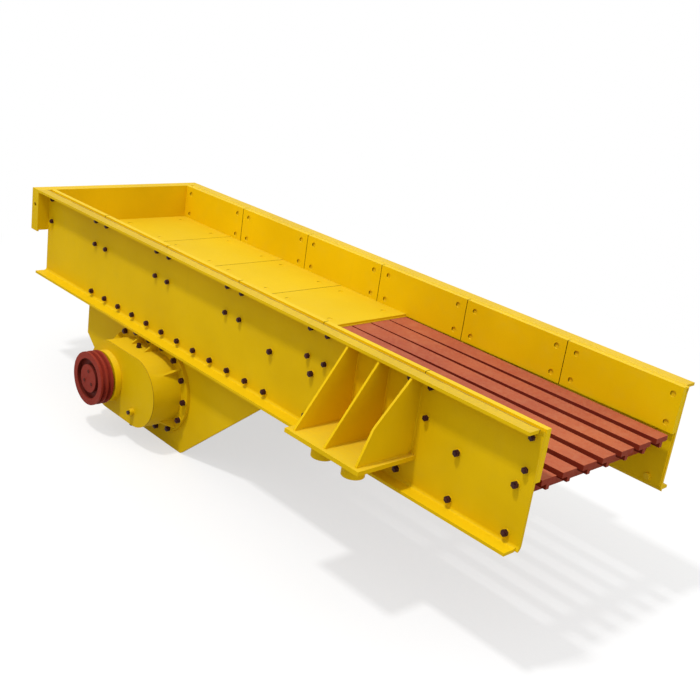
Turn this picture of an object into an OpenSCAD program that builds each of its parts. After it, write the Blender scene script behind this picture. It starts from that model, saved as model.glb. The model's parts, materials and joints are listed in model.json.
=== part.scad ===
// Trough-type vibrating grizzly feeder with a twin-shaft exciter hung beneath the feed deck.
// Units are millimetres. +X is the way the material travels, +Z is up, -Y is the pulley side.
// "right" names are on the pulley side, "left" names on the other side.

/* [Trough] */
// Length of the trough from the rear wall to the discharge end
trough_l = 3785; // [3000:5:4600]
// Clear width between the side liners
trough_w = 960; // [800:10:1200]
// Height of the side plates over both flanges
side_h = 520; // [420:5:640]
// Thickness of the bent side plates
side_t = 14; // [8:1:20]
// Reach of the side flanges outside the web
flange_w = 72; // [55:1:120]
// Outside radius of the side plate bends
bend_r = 30; // [20:1:45]
// Height of the feed deck surface over the underside of the side plates
deck_z = 310; // [270:5:360]
// Length of the solid feed deck
deck_l = 2136; // [1800:4:2500]
// Thickness of the pan plate under the deck liners
pan_t = 10; // [6:1:16]
// Depth of the rear box beam along the trough
rear_beam_d = 76; // [60:1:120]
// Wall thickness of the rear box beam
rear_beam_wall = 10; // [6:1:14]

/* [Liners] */
// Thickness of the side liner panels
liner_t = 28; // [14:1:40]
// Joint width between neighbouring liner panels
liner_gap = 4; // [1:0.5:6]
// Distance of the liner bolts from the panel ends
liner_edge = 58; // [45:1:90]
// Thickness of the deck liner plates
deck_liner_t = 12; // [8:1:20]
// Distance of the deck bolts from the plate ends
deck_edge = 93; // [60:1:120]
// Thickness of the lower liners beside the bars
lower_liner_t = 8; // [5:1:12]

/* [Grizzly bars] */
// Height of the step from the deck surface down to the bars
bar_step = 14; // [12:1:40]
// Thickness of the bar top plate
bar_t = 26; // [16:1:36]
// Width of a bar at its rear end
bar_rear_w = 128; // [100:1:130]
// Width of a bar at the discharge end
bar_front_w = 93; // [70:1:110]
// Width of the stem under a bar
stem_w = 22; // [14:1:30]
// Height of the stem under a bar
stem_h = 24; // [14:1:60]
// Distance of the bar ends from the discharge end of the trough
bar_setback = 5; // [0:5:60]
// Outside size of the square cross beams under the bars
beam_s = 80; // [60:2:100]
// Wall thickness of the cross beams
beam_wall = 8; // [5:1:12]

/* [Spring brackets] */
// Spacing of the three gussets
gusset_pitch = 192; // [160:1:240]
// Thickness of the gussets
gusset_t = 12; // [8:1:20]
// Length of the bracket base plate
base_l = 460; // [420:2:560]
// Reach of the base plate from the side plate
base_reach = 331; // [280:1:380]
// Thickness of the base plate
base_t = 20; // [12:1:30]
// Height of the base plate top over the underside of the side plates
base_top_z = 156; // [130:1:200]
// Radius of the spring spigots
spigot_r = 51; // [40:0.5:60]
// Length of the spring spigots
spigot_h = 77; // [50:1:110]
// Distance of the spigot centres from the side plate
spigot_reach = 222; // [180:1:240]

/* [Exciter] */
// Position of the exciter middle along the trough
exciter_x = 1213; // [1100:1:1400]
// Distance between the two exciter shafts
shaft_gap = 260; // [212:1:300]
// Depth of the shaft line under the side plates
shaft_drop = 258; // [252:1:300]
// Thickness of the exciter side plates
plate_t = 16; // [10:1:25]
// Depth of the exciter plates under the side plates
plate_drop = 573; // [520:1:640]
// Outer radius of the gear case ends
case_r = 194; // [184:1:204]
// Outer radius of the bolted case flanges
case_flange_r = 250; // [248:1:251]
// Depth of the gear case from flange to face
case_depth = 172; // [160:1:200]
// Radius of the bearing seats
bearing_r = 90; // [80:1:96]
// Radius of the shafts inside the bearings
journal_r = 42.5; // [40:0.5:48]
// Radial running clearance of the shafts in the bearings
running_gap = 0.05; // [0.02:0.01:0.09]
// Outer radius of the eccentric weights
eccentric_r = 105; // [90:1:108]
// Direction of the throw over the trough bottom in degrees
throw_angle = 50; // [30:1:70]

/* [Gears and pulley] */
// Number of teeth on each timing gear
gear_teeth = 26; // [26:2:30]
// Face width of the timing gears
gear_w = 56; // [40:1:70]
// Play between meshing tooth flanks
gear_backlash = 0.4; // [0.2:0.1:0.8]
// Outer radius of the belt pulley
pulley_r = 148; // [130:1:160]
// Width of the belt pulley
pulley_w = 75; // [60:1:80]
// Depth of the belt grooves
groove_d = 18; // [12:1:22]
// Width of a belt groove at the rim
groove_w = 21; // [16:1:24]
// Distance from the web to the front face of the pulley
pulley_reach = 306; // [298:1:330]

/* [Fasteners] */
// Shank radius of the liner and deck bolts
small_bolt_r = 8; // [6:1:10]
// Width across flats of the small nuts
small_af = 24; // [19:1:27]
// Shank radius of the bolts through the side plates
web_bolt_r = 9; // [8:1:12]
// Width across flats of the nuts on the side plates
web_af = 27; // [24:1:34]
// Shank radius of the bolts around the exciter case
big_bolt_r = 10; // [8:1:12]
// Width across flats of the nuts around the exciter case
big_af = 30; // [24:1:34]

/* [Hidden] */
$fn = 0;

panel_n = 6;
deck_liner_n = 4;
bar_n = 7;
eps = 1;

yellow = [0.86, 0.68, 0.02];
red = [0.55, 0.14, 0.09];
dark = [0.16, 0.10, 0.11];
steel = [0.62, 0.62, 0.64];

// The reference point of the whole feeder is the middle of its length at its lowest point.
home_x = (rear_beam_d - trough_l) / 2;
home_z = plate_drop;

web_in = trough_w / 2 + liner_t;
web_out = web_in + side_t;
flange_out = web_out + flange_w;
flange_setback = 14;
last_short = 15;
panel_pitch = (trough_l + last_short) / panel_n;
deck_pitch = deck_l / deck_liner_n;
pan_top = deck_z - deck_liner_t;
pan_low = pan_top - pan_t;
rear_beam_low = pan_low - 16;
rear_beam_h = side_h - rear_beam_low;
liner_low = pan_top;
liner_h = side_h - liner_low;
liner_bolt_low = liner_low + 41;
small_nut_h = 13;
small_washer_r = small_af / sqrt(3) + 1.2;
small_washer_t = 3;
liner_bolt_high = side_h - bend_r - small_washer_r - 0.5;
web_nut_h = 15;
web_washer_r = web_af / sqrt(3) + 1;
web_head_r = 15;
web_head_t = 12;
big_nut_h = 16;
big_washer_r = big_af / sqrt(3) + 0.7;
big_washer_t = 4;
big_head_r = 16;
big_head_t = 13;
sink_r = small_bolt_r + 6.5;
liner_sink = 6;
deck_sink = 2;
hole_play = 0.6;

deck_row = trough_w / 2 - 89;
deck_bolt_rows = [-deck_row, 0, deck_row];

bar_top = deck_z - bar_step;
bar_low = bar_top - bar_t;
stem_low = bar_low - stem_h;
bar_pitch = trough_w / bar_n;
bar_x0 = deck_l + 2;
bar_x1 = trough_l - bar_setback;
bar_rear = min(bar_rear_w, bar_pitch - 9);
bar_front = min(bar_front_w, bar_pitch - 9);
beam_low = stem_low - beam_s;
beam_end = web_in - lower_liner_t;
beam_front_x = trough_l - 150;
beam_rear_x = deck_l + 62;
beam_middle_x = (beam_front_x + beam_rear_x) / 2;

// The front gusset stands on a liner joint, where it clears the liner bolts.
bracket_x = (panel_n - 1) * panel_pitch - gusset_pitch;
base_x0 = bracket_x - base_l / 2 - 5;
base_out = web_out + base_reach;
spigot_y = web_out + spigot_reach;
gusset_knee_y = web_out + 246;
gusset_knee_z = base_top_z + 158;
gusset_snipe = 18;
spigot_wall = 12;

plate_top = 104;
plate_mid_x = exciter_x + 34;
plate_rear = plate_mid_x - 734;
plate_front = plate_mid_x + 990;
plate_foot = 302;
plate_rear_z = -226;
plate_corner_r = 22;
plate_open_r = 170;
plate_out = web_in;
plate_in = web_in - plate_t;
plate_flange_t = 16;

side_bolt_n = 12;
side_bolt_x = plate_rear + 54;
side_bolt_pitch = (plate_front - 35 - side_bolt_x) / (side_bolt_n - 1);
side_bolt_z = 52;
frame_bolt_pitch = 300;
frame_bolt_x = bracket_x - 762;
frame_bolt_min = max(deck_l + 60, plate_front - 30);
frame_bolt_low = 56;
frame_bolt_high = stem_low + 18;

drive_x = exciter_x - shaft_gap / 2;
driven_x = exciter_x + shaft_gap / 2;
shaft_z = -shaft_drop;
case_flange_t = 20;
case_wall = 8;
case_face = plate_out + case_flange_t + case_depth;
face_t = 10;
housing_r = plate_open_r - 0.5;
housing_wall = 14;
housing_end = 70;
bearing_w = 60;
bearing_out = plate_out - 5;
bearing_in = bearing_out - bearing_w;
case_bolt_r = 230;
cap_r = 143;
cap_t = 38;
cap_spigot_r = 60;
cover_depth = 50;

shaft_mid_r = 55;
shaft_mid_half = bearing_in - 2;
gear_shaft_r = 40;
gear_y0 = plate_out + 46;
gear_y1 = gear_y0 + gear_w;
seal_shaft_r = 38;
seat_gap = 0.1;
pulley_shaft_r = 35;
pulley_face = web_out + pulley_reach;
pulley_recess_r = 112;
pulley_recess_d = 22;
pulley_web_t = 26;
pulley_hub_r = 80;
pulley_hub_face = pulley_face - 14;
shaft_tip = pulley_hub_face - 4;
retainer_t = 10;
screw_circle = 42;
screw_r = 5;
screw_depth = 16;
eccentric_y0 = 140;
eccentric_w = bearing_in - eccentric_y0 - 55;
weight_r = min(eccentric_r, shaft_gap / 2 - 6);

pressure_angle = 20;
gear_module = shaft_gap / gear_teeth;
pitch_r = shaft_gap / 2;
base_circle_r = pitch_r * cos(pressure_angle);
tip_r = pitch_r + gear_module;
root_r = pitch_r - 1.25 * gear_module;
flank_steps = 6;

// ---------- shared shapes ----------

// Moves a shape from trough coordinates to the reference point of the whole feeder.
module home() {
    translate([home_x, 0, home_z]) children();
}

// Stands a flat shape drawn as (along the trough, up) on the plane y and thickens it outward,
// toward -Y.
module on_side(y, t) {
    translate([0, -y, 0])
    rotate([90, 0, 0])
    linear_extrude(height = t) children();
}

// Stands a flat shape drawn as (across, up) and stretches it along the trough from x.
module along(x, length) {
    translate([x, 0, 0])
    rotate([90, 0, 90])
    linear_extrude(height = length) children();
}

// A round bar across the trough, from distance y outward by t, on the pulley side.
module pin_y(x, z, y, t, r) {
    translate([x, -y, z])
    rotate([90, 0, 0]) cylinder(h = t, r = r);
}

// A hexagon prism across the trough on the pulley side.
module hex_y(x, z, y, t, af) {
    translate([x, -y, z])
    rotate([90, 30, 0]) cylinder(h = t, r = af / sqrt(3), $fn = 6);
}

// A flat shape with two round ends over the shaft centres.
module slot_2d(r) {
    translate([driven_x, shaft_z]) circle(r = r);
    translate([drive_x, shaft_z]) circle(r = r);
    translate([drive_x, shaft_z - r]) square([shaft_gap, 2 * r]);
}

// A round corner of an outline as a fan of points from angle a0 to a1.
function corner(cx, cz, r, a0, a1) =
    [for (k = [0:6]) [cx + r * cos(a0 + (a1 - a0) * k / 6),
                      cz + r * sin(a0 + (a1 - a0) * k / 6)]];

// ---------- side plates ----------

// One bent corner between the web and a flange, drawn in the (across, up) plane.
module bend_2d() {
    difference() {
        intersection() {
            translate([bend_r, bend_r]) circle(r = bend_r);
            square([bend_r, bend_r]);
        }
        translate([bend_r, bend_r]) circle(r = bend_r - side_t);
    }
}

// The section of a side plate on the +Y side: web, two outward flanges and their bends.
module side_section_2d() {
    translate([web_in, bend_r]) square([side_t, side_h - 2 * bend_r]);
    translate([web_in + bend_r, 0]) square([side_t + flange_w - bend_r, side_t]);
    translate([web_in + bend_r, side_h - side_t])
    square([side_t + flange_w - bend_r, side_t]);
    translate([web_in, 0]) bend_2d();
    translate([web_in, side_h]) mirror([0, 1]) bend_2d();
}

module web_holes() {
    liner_holes(web_in - eps, side_t + 2 * eps);
    side_holes(web_in - eps, side_t + 2 * eps);
    frame_holes(web_in - eps, side_t + 2 * eps);
}

module liner_holes(y, t) {
    for (k = [0:panel_n - 1]) {
        for (x = [k * panel_pitch + liner_edge, (k + 1) * panel_pitch - liner_edge]) {
            for (z = [liner_bolt_low, liner_bolt_high]) {
                pin_y(x, z, y, t, small_bolt_r + hole_play);
            }
        }
    }
}

module side_holes(y, t) {
    for (k = [0:side_bolt_n - 1]) {
        pin_y(side_bolt_x + k * side_bolt_pitch, side_bolt_z, y, t, web_bolt_r + hole_play);
    }
}

// Places of the bolts through the lower liners beside the bars. The upper row leaves out the
// places between the gussets.
frame_bolt_spots = concat(
    [for (k = [0, 1, 4, 5]) [frame_bolt_x + k * frame_bolt_pitch, frame_bolt_high]],
    [for (k = [1:5]) [frame_bolt_x + k * frame_bolt_pitch, frame_bolt_low]]);

module frame_holes(y, t) {
    for (p = frame_bolt_spots) {
        if (p[0] > frame_bolt_min && p[0] < trough_l - 30) {
            pin_y(p[0], p[1], y, t, web_bolt_r + hole_play);
        }
    }
}

// The flanges end a little before the web does at the discharge end.
module side_plate() {
    difference() {
        mirror([0, 1, 0]) along(0, trough_l) side_section_2d();
        web_holes();
        translate([trough_l - flange_setback, -flange_out - eps, -eps])
        cube([flange_setback + eps, flange_w + eps - 3, side_h + 2 * eps]);
    }
}

module side_plate_right() {
    color(yellow) home() side_plate();
}

module side_plate_left() {
    color(yellow) home() mirror([0, 1, 0]) side_plate();
}

// ---------- rear box beam ----------

end_lip = 8;
lifting_hole_r = 13;

// A hollow box across the trough; the ends stand out under the flanges and are closed with
// plates, each with one lifting hole.
module rear_beam() {
    z0 = rear_beam_low;
    hole_z = side_h - 97;
    color(yellow) home() difference() {
        union() {
            translate([-rear_beam_d, -flange_out, z0])
            cube([rear_beam_d, 2 * flange_out, rear_beam_h]);
            for (y = [-flange_out, flange_out - rear_beam_wall]) {
                translate([-rear_beam_d, y, z0 - end_lip])
                cube([rear_beam_d, rear_beam_wall, end_lip + rear_beam_wall]);
            }
        }
        translate([rear_beam_wall - rear_beam_d, rear_beam_wall - flange_out,
            z0 + rear_beam_wall])
        cube([rear_beam_d - 2 * rear_beam_wall, 2 * (flange_out - rear_beam_wall),
            rear_beam_h - 2 * rear_beam_wall]);
        for (s = [-1, 1]) {
            translate([-rear_beam_d / 2, s * flange_out, hole_z])
            rotate([90, 0, 0])
            cylinder(h = 3 * rear_beam_wall, r = lifting_hole_r, center = true);
        }
    }
}

// ---------- pan and deck ----------

module pan_plate() {
    color(yellow) home() difference() {
        translate([0, -web_in, pan_low]) cube([deck_l, 2 * web_in, pan_t]);
        deck_holes(pan_low - eps, pan_t + 2 * eps);
    }
}

module deck_holes(z, t) {
    for (k = [0:deck_liner_n - 1]) {
        for (x = [k * deck_pitch + deck_edge, (k + 1) * deck_pitch - deck_edge]) {
            for (y = deck_bolt_rows) {
                translate([x, y, z]) cylinder(h = t, r = small_bolt_r + hole_play);
            }
        }
    }
}

// Cross ribs under the pan. Below the top of the exciter plates they are narrower, so that
// they clear the heads of the bolts there.
rib_n = 6;
rib_t = 12;
rib_x = 190;
rib_pitch = deck_pitch * 2 / 3;
rib_low = 22;

module pan_ribs() {
    fit = plate_in - web_head_t - 4;
    color(yellow) home()
    for (k = [0:rib_n - 1]) {
        along(rib_x + k * rib_pitch, rib_t)
        polygon([[-fit, rib_low], [fit, rib_low], [fit, plate_top + 6],
            [web_in, plate_top + 6], [web_in, pan_low], [-web_in, pan_low],
            [-web_in, plate_top + 6], [-fit, plate_top + 6]]);
    }
}

// One deck liner with countersunk bolt holes.
module deck_liner(k) {
    side_fit = 0.2;
    x0 = k * deck_pitch;
    color(yellow) home() difference() {
        translate([x0, side_fit - trough_w / 2, pan_top])
        cube([deck_pitch - liner_gap, trough_w - 2 * side_fit, deck_liner_t]);
        for (x = [x0 + deck_edge, x0 + deck_pitch - deck_edge]) {
            for (y = deck_bolt_rows) {
                translate([x, y, pan_top - eps])
                cylinder(h = deck_liner_t + 2 * eps, r = small_bolt_r + hole_play);
                translate([x, y, deck_z - deck_sink]) cylinder(h = deck_sink + eps, r = sink_r);
                translate([x, y, deck_z - deck_sink - sink_r + small_bolt_r])
                cylinder(h = sink_r - small_bolt_r, r1 = small_bolt_r, r2 = sink_r);
            }
        }
    }
}

module deck_liner_1() {
    deck_liner(0);
}

module deck_liner_2() {
    deck_liner(1);
}

module deck_liner_3() {
    deck_liner(2);
}

module deck_liner_4() {
    deck_liner(3);
}

// One side liner panel with four countersunk bolt holes, on the pulley side.
module side_liner(k) {
    x0 = k * panel_pitch;
    y0 = trough_w / 2;
    difference() {
        translate([x0, -web_in, liner_low])
        cube([panel_pitch - (k < panel_n - 1 ? liner_gap : last_short), liner_t, liner_h]);
        for (x = [x0 + liner_edge, x0 + panel_pitch - liner_edge]) {
            for (z = [liner_bolt_low, liner_bolt_high]) {
                pin_y(x, z, y0 - eps, liner_t + 2 * eps, small_bolt_r + hole_play);
                pin_y(x, z, y0 - eps, liner_sink + eps, sink_r);
                translate([x, -y0 - liner_sink, z])
                rotate([90, 0, 0])
                cylinder(h = sink_r - small_bolt_r, r1 = sink_r, r2 = small_bolt_r);
            }
        }
    }
}

module side_liner_right(k) {
    color(yellow) home() side_liner(k);
}

module side_liner_left(k) {
    color(yellow) home() mirror([0, 1, 0]) side_liner(k);
}

module side_liner_right_1() {
    side_liner_right(0);
}

module side_liner_right_2() {
    side_liner_right(1);
}

module side_liner_right_3() {
    side_liner_right(2);
}

module side_liner_right_4() {
    side_liner_right(3);
}

module side_liner_right_5() {
    side_liner_right(4);
}

module side_liner_right_6() {
    side_liner_right(5);
}

module side_liner_left_1() {
    side_liner_left(0);
}

module side_liner_left_2() {
    side_liner_left(1);
}

module side_liner_left_3() {
    side_liner_left(2);
}

module side_liner_left_4() {
    side_liner_left(3);
}

module side_liner_left_5() {
    side_liner_left(4);
}

module side_liner_left_6() {
    side_liner_left(5);
}

// A flat lower liner on the inside of the web, beside and below the bars.
module lower_liner() {
    margin = 34;
    difference() {
        translate([deck_l + 2, -web_in, margin])
        cube([trough_l - deck_l - 7, lower_liner_t, liner_low - margin - 1]);
        translate([deck_l, -web_in - eps, margin - eps])
        cube([plate_front + 3 - deck_l, lower_liner_t + 2 * eps, plate_top + 3 - margin + eps]);
        frame_holes(web_in - lower_liner_t - eps, lower_liner_t + 2 * eps);
    }
}

module lower_liner_right() {
    color(yellow) home() lower_liner();
}

module lower_liner_left() {
    color(yellow) home() mirror([0, 1, 0]) lower_liner();
}

// ---------- grizzly bars and their beams ----------

// One tapered bar: a top plate that narrows toward the discharge end on a straight stem.
module grizzly_bar(k) {
    y = (k - (bar_n - 1) / 2) * bar_pitch;
    color(red) home() union() {
        translate([0, y, bar_low])
        linear_extrude(height = bar_t)
        polygon([[bar_x0, -bar_rear / 2], [bar_x1, -bar_front / 2],
            [bar_x1, bar_front / 2], [bar_x0, bar_rear / 2]]);
        translate([bar_x0, y - stem_w / 2, stem_low])
        cube([bar_x1 - bar_x0, stem_w, stem_h]);
    }
}

module grizzly_bar_1() {
    grizzly_bar(0);
}

module grizzly_bar_2() {
    grizzly_bar(1);
}

module grizzly_bar_3() {
    grizzly_bar(2);
}

module grizzly_bar_4() {
    grizzly_bar(3);
}

module grizzly_bar_5() {
    grizzly_bar(4);
}

module grizzly_bar_6() {
    grizzly_bar(5);
}

module grizzly_bar_7() {
    grizzly_bar(6);
}

// A square hollow beam from side to side under the bars.
module bar_beam(x) {
    color(red) home() difference() {
        translate([x - beam_s / 2, -beam_end, beam_low]) cube([beam_s, 2 * beam_end, beam_s]);
        translate([x - beam_s / 2 + beam_wall, -beam_end - eps, beam_low + beam_wall])
        cube([beam_s - 2 * beam_wall, 2 * beam_end + 2 * eps, beam_s - 2 * beam_wall]);
    }
}

module bar_beam_front() {
    bar_beam(beam_front_x);
}

module bar_beam_middle() {
    bar_beam(beam_middle_x);
}

module bar_beam_rear() {
    bar_beam(beam_rear_x);
}

// ---------- spring brackets ----------

// A gusset between the top flange and the base plate; the front one has a knee in its edge.
module gusset_2d(knee) {
    top = side_h - side_t;
    outer = base_out - 18;
    tip = flange_out - 6;
    edge = knee ? [[tip, top], [gusset_knee_y, gusset_knee_z], [outer, base_top_z + 8]]
                : [[tip, top], [outer, base_top_z + 8]];
    polygon(concat([[web_out, top - gusset_snipe], [web_out + gusset_snipe, top]], edge,
        [[outer, base_top_z], [web_out + gusset_snipe, base_top_z],
        [web_out, base_top_z + gusset_snipe]]));
}

module spring_bracket() {
    for (k = [-1:1]) {
        mirror([0, 1, 0])
        along(bracket_x + k * gusset_pitch - gusset_t / 2, gusset_t) gusset_2d(k == 1);
    }
    difference() {
        union() {
            translate([base_x0, -base_out, base_top_z - base_t])
            cube([base_l, base_reach, base_t]);
            for (s = [-1, 1]) {
                translate([bracket_x + s * gusset_pitch / 2, -spigot_y,
                    base_top_z - base_t - spigot_h])
                cylinder(h = spigot_h, r = spigot_r);
            }
        }
        for (s = [-1, 1]) {
            translate([bracket_x + s * gusset_pitch / 2, -spigot_y,
                base_top_z - base_t - spigot_h - eps])
            cylinder(h = spigot_h - spigot_wall, r = spigot_r - spigot_wall);
        }
    }
}

module spring_bracket_right() {
    color(yellow) home() spring_bracket();
}

module spring_bracket_left() {
    color(yellow) home() mirror([0, 1, 0]) spring_bracket();
}

// Two rear feet between the side plates: a box hung under the rear beam and the pan, with a
// spring spigot pointing down.
foot_w = 150;
foot_h = 40;
foot_y = trough_w / 2 - 80;

module rear_feet() {
    z1 = rear_beam_low;
    spigot_low = z1 - foot_h - spigot_h;
    color(yellow) home()
    for (s = [-1, 1]) {
        difference() {
            union() {
                translate([-rear_beam_d, s * foot_y - foot_w / 2, z1 - foot_h])
                cube([foot_w, foot_w, foot_h]);
                translate([0, s * foot_y - foot_w / 2, z1 - eps])
                cube([foot_w - rear_beam_d, foot_w, pan_low - z1 + eps]);
                translate([-rear_beam_d + foot_w / 2, s * foot_y, spigot_low])
                cylinder(h = spigot_h + eps, r = spigot_r);
            }
            translate([-rear_beam_d + foot_w / 2, s * foot_y, spigot_low - eps])
            cylinder(h = spigot_h - spigot_wall, r = spigot_r - spigot_wall);
        }
    }
}

// ---------- exciter plates ----------

module exciter_plate_2d() {
    foot_z = -plate_drop;
    slope = atan2(-foot_z, plate_front - plate_mid_x - plate_foot);
    cut = plate_corner_r * tan(slope / 2);
    polygon(concat([[plate_rear, plate_top], [plate_rear, plate_rear_z],
        [plate_mid_x - plate_foot, foot_z]],
        corner(plate_mid_x + plate_foot - cut, foot_z + plate_corner_r, plate_corner_r,
            -90, slope - 90),
        [[plate_front, 0], [plate_front, plate_top]]));
}

module exciter_plate() {
    difference() {
        on_side(plate_in, plate_t) difference() {
            exciter_plate_2d();
            slot_2d(plate_open_r);
        }
        side_holes(plate_in - eps, plate_t + 2 * eps);
        case_bolt_spots() pin_y(0, 0, plate_in - eps, plate_t + 2 * eps,
            big_bolt_r + hole_play);
    }
}

module exciter_plate_right() {
    color(yellow) home() exciter_plate();
}

module exciter_plate_left() {
    color(yellow) home() mirror([0, 1, 0]) exciter_plate();
}

// Places its children at every bolt of the round-ended case flanges.
module case_bolt_spots() {
    for (k = [0:6]) {
        a = -90 + 30 * k;
        translate([driven_x + case_bolt_r * cos(a), 0, shaft_z + case_bolt_r * sin(a)])
        children();
        translate([drive_x - case_bolt_r * cos(a), 0, shaft_z + case_bolt_r * sin(a)])
        children();
    }
    for (s = [-1, 1]) {
        translate([exciter_x, 0, shaft_z + s * case_bolt_r]) children();
    }
}

// ---------- exciter housing and covers ----------

module exciter_housing() {
    color(yellow) home() difference() {
        union() {
            on_side(-plate_out, 2 * plate_out) slot_2d(housing_r);
            for (s = [-1, 1]) {
                on_side(s * (plate_in - plate_flange_t / 2) - plate_flange_t / 2,
                    plate_flange_t)
                slot_2d(case_flange_r);
            }
        }
        on_side(-plate_out + housing_end, 2 * (plate_out - housing_end))
        slot_2d(housing_r - housing_wall);
        for (x = [drive_x, driven_x]) {
            pin_y(x, shaft_z, -plate_out - eps, 2 * plate_out + 2 * eps, bearing_r);
        }
        case_bolt_spots() pin_y(0, 0, -plate_in - eps, 2 * plate_in + 2 * eps,
            big_bolt_r + hole_play);
    }
}

// A triangular rib with a blunt outer end between the case wall and its flange, at angle a
// over the shaft line.
rib_thick = 12;
rib_blunt = 15;
rib_length = 90;

module case_rib(cx, a) {
    reach = case_flange_r - case_r - 8;
    translate([cx, 0, shaft_z])
    rotate([0, -a, 0])
    translate([case_r - 2, -plate_out - case_flange_t + 1, -rib_thick / 2])
    linear_extrude(height = rib_thick)
    polygon([[0, 0], [reach, 0], [reach, -rib_blunt], [0, -rib_length]]);
}

boss_x = driven_x + 4;
boss_z = shaft_z - 114;
boss_h = 22;
drain_x = driven_x - 22;
drain_y = case_face - 22;
breather_x = exciter_x - 3;
breather_y = plate_out + case_flange_t + 72;

module gear_case() {
    color(yellow) home() difference() {
        union() {
            on_side(plate_out, case_flange_t) slot_2d(case_flange_r);
            on_side(plate_out + 1, case_flange_t + case_depth - 1) slot_2d(case_r);
            case_rib(driven_x, 45);
            case_rib(driven_x, -45);
            case_rib(drive_x, 135);
            case_rib(drive_x, 225);
            case_rib(exciter_x - 66, 90);
            case_rib(exciter_x + 66, 90);
            pin_y(boss_x, boss_z, case_face - 1, boss_h + 1, 19);
        }
        on_side(plate_out - eps, case_flange_t + case_depth - face_t + eps)
        slot_2d(case_r - case_wall);
        pin_y(drive_x, shaft_z, case_face - face_t - eps, face_t + 2 * eps, cap_spigot_r);
        pin_y(boss_x, boss_z, case_face - face_t - eps, face_t + boss_h + 2 * eps, 8);
        translate([drain_x, -drain_y, shaft_z - case_r - eps])
        cylinder(h = case_wall + 2 * eps, r = 10);
        translate([breather_x, -breather_y, shaft_z + case_r - case_wall - eps])
        cylinder(h = case_wall + 2 * eps, r = 10);
        case_bolt_spots() pin_y(0, 0, plate_out - eps, case_flange_t + 2 * eps,
            big_bolt_r + hole_play);
    }
}

// The round cap over the input shaft, with a spigot into the case and a seal bore.
module input_cap() {
    color(yellow) home() difference() {
        union() {
            pin_y(drive_x, shaft_z, case_face, cap_t, cap_r);
            pin_y(drive_x, shaft_z, case_face - face_t, face_t + eps, cap_spigot_r);
        }
        pin_y(drive_x, shaft_z, case_face - face_t - eps, cap_t + face_t + 2 * eps,
            seal_shaft_r + 0.5);
        pin_y(drive_x, shaft_z, case_face - face_t - eps, cap_t - 2, cap_spigot_r - 12);
    }
}

// The plain cover over the bearings on the far side of the exciter.
module end_cover() {
    cover_wall = 10;
    color(yellow) home() mirror([0, 1, 0]) difference() {
        union() {
            on_side(plate_out, case_flange_t) slot_2d(case_flange_r);
            on_side(plate_out + 1, case_flange_t + cover_depth - 1) slot_2d(case_r);
        }
        on_side(plate_out - eps, case_flange_t + cover_depth - cover_wall + eps)
        slot_2d(case_r - cover_wall);
        case_bolt_spots() pin_y(0, 0, plate_out - eps, case_flange_t + 2 * eps,
            big_bolt_r + hole_play);
    }
}

// Four roller bearings, shown as closed rings with a shallow groove between the rings.
module bearings() {
    ring = 16;
    groove = 3;
    color(steel) home()
    for (s = [0, 1], x = [drive_x, driven_x]) {
        mirror([0, s, 0]) difference() {
            pin_y(x, shaft_z, bearing_in, bearing_w, bearing_r);
            pin_y(x, shaft_z, bearing_in - eps, bearing_w + 2 * eps, journal_r + running_gap);
            difference() {
                pin_y(x, shaft_z, bearing_out - groove, groove + eps, bearing_r - ring);
                pin_y(x, shaft_z, bearing_out - groove - eps, groove + 3 * eps,
                    journal_r + ring);
            }
        }
    }
}

// ---------- rotors ----------

// The parts of a shaft that both rotors share, from the far end to the timing gear.
module shaft_core(x) {
    end_gap = 12;
    pin_y(x, shaft_z, -shaft_mid_half, 2 * shaft_mid_half, shaft_mid_r);
    pin_y(x, shaft_z, -plate_out - end_gap, plate_out + end_gap, journal_r);
    pin_y(x, shaft_z, 0, gear_y0 - 1, journal_r);
    pin_y(x, shaft_z, gear_y0 - 2, gear_w + 18, gear_shaft_r);
}

module drive_shaft() {
    color(steel) home() union() {
        shaft_core(drive_x);
        pin_y(drive_x, shaft_z, gear_y1, case_face + cap_t + 4 - gear_y1, seal_shaft_r);
        pin_y(drive_x, shaft_z, gear_y1, shaft_tip - gear_y1, pulley_shaft_r);
    }
}

module driven_shaft() {
    color(steel) home() shaft_core(driven_x);
}

// One eccentric weight: a half disc that hangs opposite to the throw, on a hub.
module eccentric_2d() {
    hub = 72;
    difference() {
        union() {
            circle(r = hub);
            rotate(throw_angle + 90) intersection() {
                circle(r = weight_r);
                translate([0, -weight_r]) square([weight_r, 2 * weight_r]);
            }
        }
        circle(r = shaft_mid_r + seat_gap);
    }
}

module eccentrics(x) {
    for (y = [eccentric_y0, -eccentric_y0 - eccentric_w]) {
        on_side(y, eccentric_w)
        translate([x, shaft_z]) rotate(90) eccentric_2d();
    }
}

module drive_eccentrics() {
    color(dark) home() eccentrics(drive_x);
}

module driven_eccentrics() {
    color(dark) home() eccentrics(driven_x);
}

// Polar angle an involute from the base circle has reached at radius r.
function inv_angle(r) =
    let (roll = sqrt(max(0, pow(r / base_circle_r, 2) - 1)))
    roll * 180 / PI - atan(roll);

// Half the angle a tooth takes at radius r.
function half_tooth(r) =
    90 / gear_teeth + inv_angle(pitch_r) - inv_angle(max(r, base_circle_r))
    - gear_backlash / 4 / pitch_r * 180 / PI;

function flank(side, a) =
    [for (k = [0:flank_steps])
        let (r = k == 0 ? root_r
                : base_circle_r + (tip_r - base_circle_r) * (k - 1) / (flank_steps - 1),
             h = side * half_tooth(r))
        [r * cos(a + h), r * sin(a + h)]];

function reversed(list) = [for (k = [len(list) - 1:-1:0]) list[k]];

module gear_2d() {
    difference() {
        polygon([for (k = [0:gear_teeth - 1])
            each concat(flank(-1, k * 360 / gear_teeth),
                reversed(flank(1, k * 360 / gear_teeth)))]);
        circle(r = gear_shaft_r + seat_gap);
    }
}

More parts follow.
